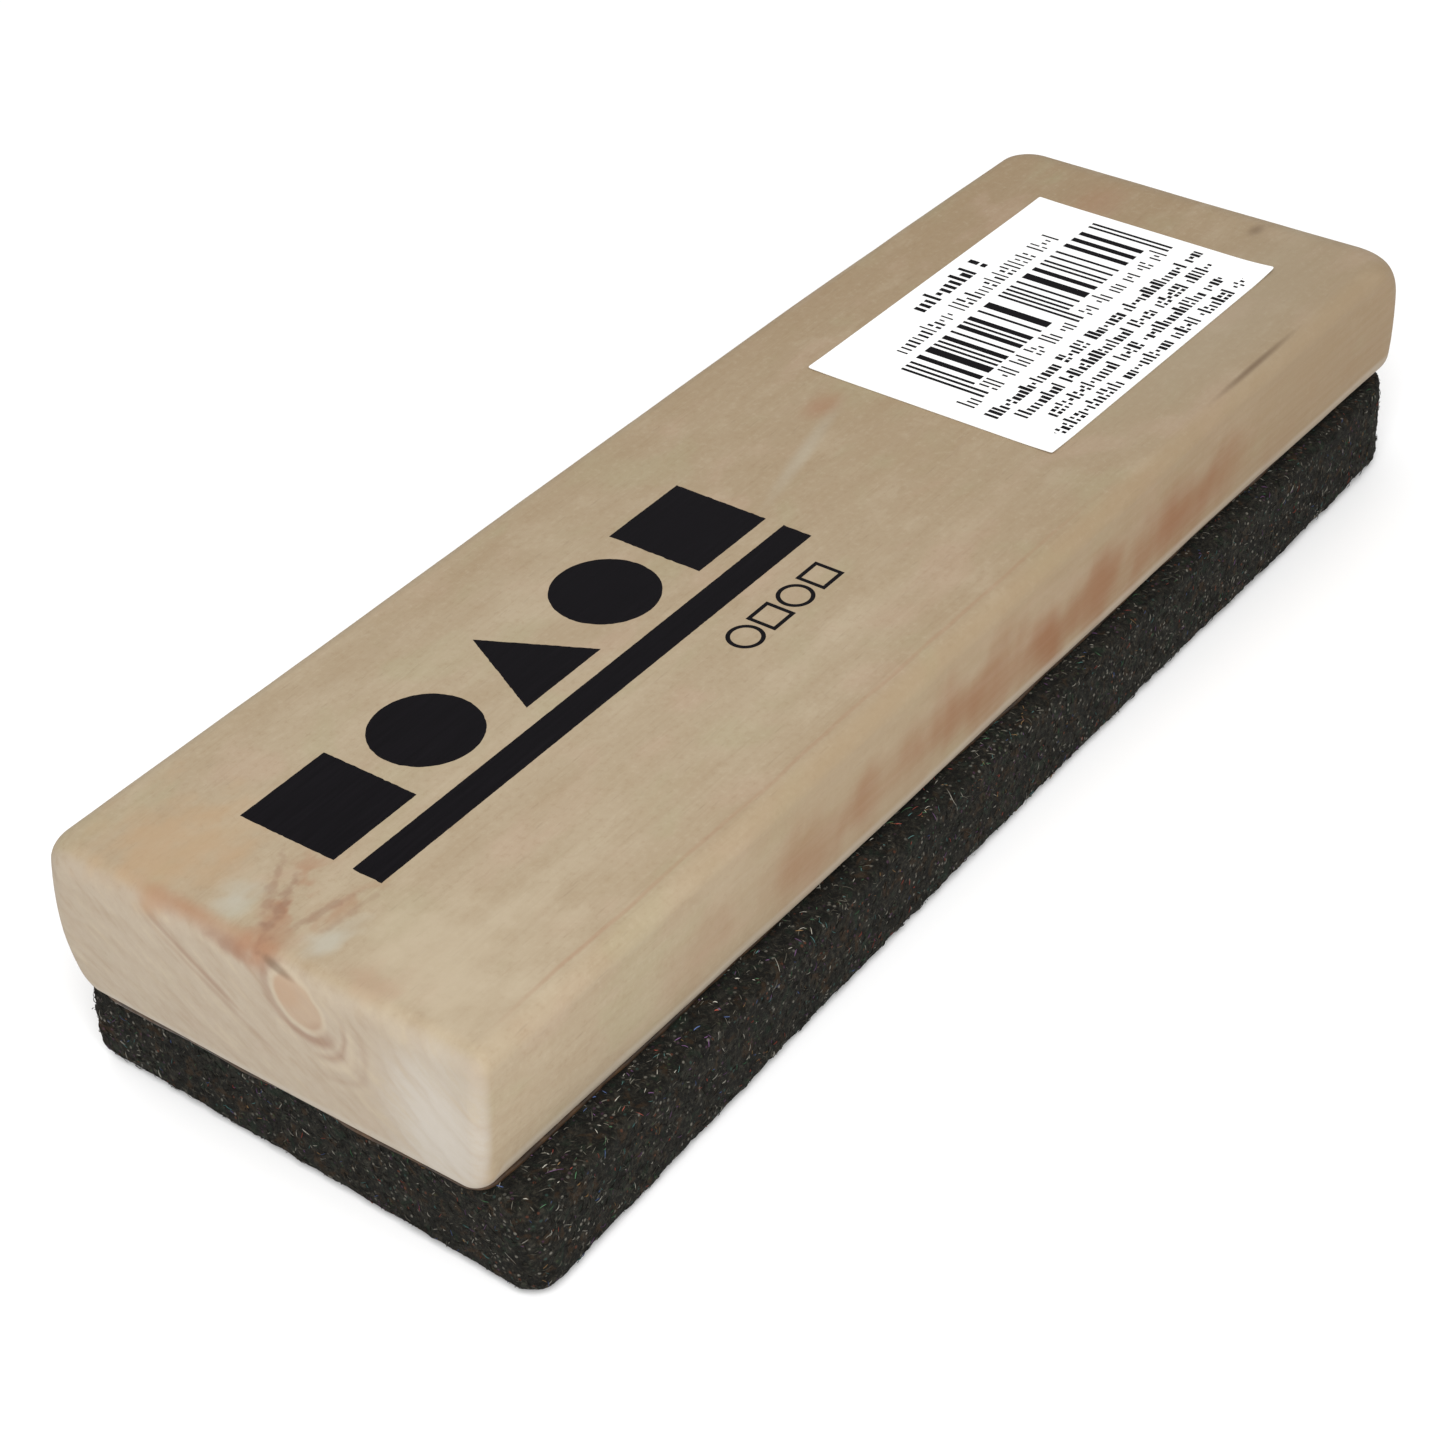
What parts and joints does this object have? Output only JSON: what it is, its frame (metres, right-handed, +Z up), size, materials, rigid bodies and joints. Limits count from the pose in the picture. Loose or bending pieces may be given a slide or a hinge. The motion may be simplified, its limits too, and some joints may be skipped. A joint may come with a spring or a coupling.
{
  "type": "chalkboard eraser",
  "caption": "Hand-held chalkboard eraser: a bare softwood block with rounded edges, glued onto a thick felt wiping pad, with a paper label on its top.",
  "frame": {"origin": "under the middle of the eraser, on the felt face that wipes the board", "axes": "+X along the eraser towards the labelled end, +Y across it, +Z up through the pad and the block"},
  "size_m": [0.1451, 0.0497, 0.0245],
  "materials": {
    "bare_wood": "bare sanded softwood, unvarnished, with a knot and reddish streaks",
    "felt": "thick needled felt, dark grey-brown, with coloured recycled fibres",
    "dried_glue": "thin dried wood glue, brown and half gloss",
    "label_paper": "smooth white label paper with black print",
    "label_adhesive": "clear pressure-sensitive adhesive layer"
  },
  "bodies": {
    "root": {"wooden_block": "bare_wood", "felt_pad": "felt", "glue_film": "dried_glue", "label_paper": "label_paper", "label_adhesive": "label_adhesive"}
  },
  "joints": []
}
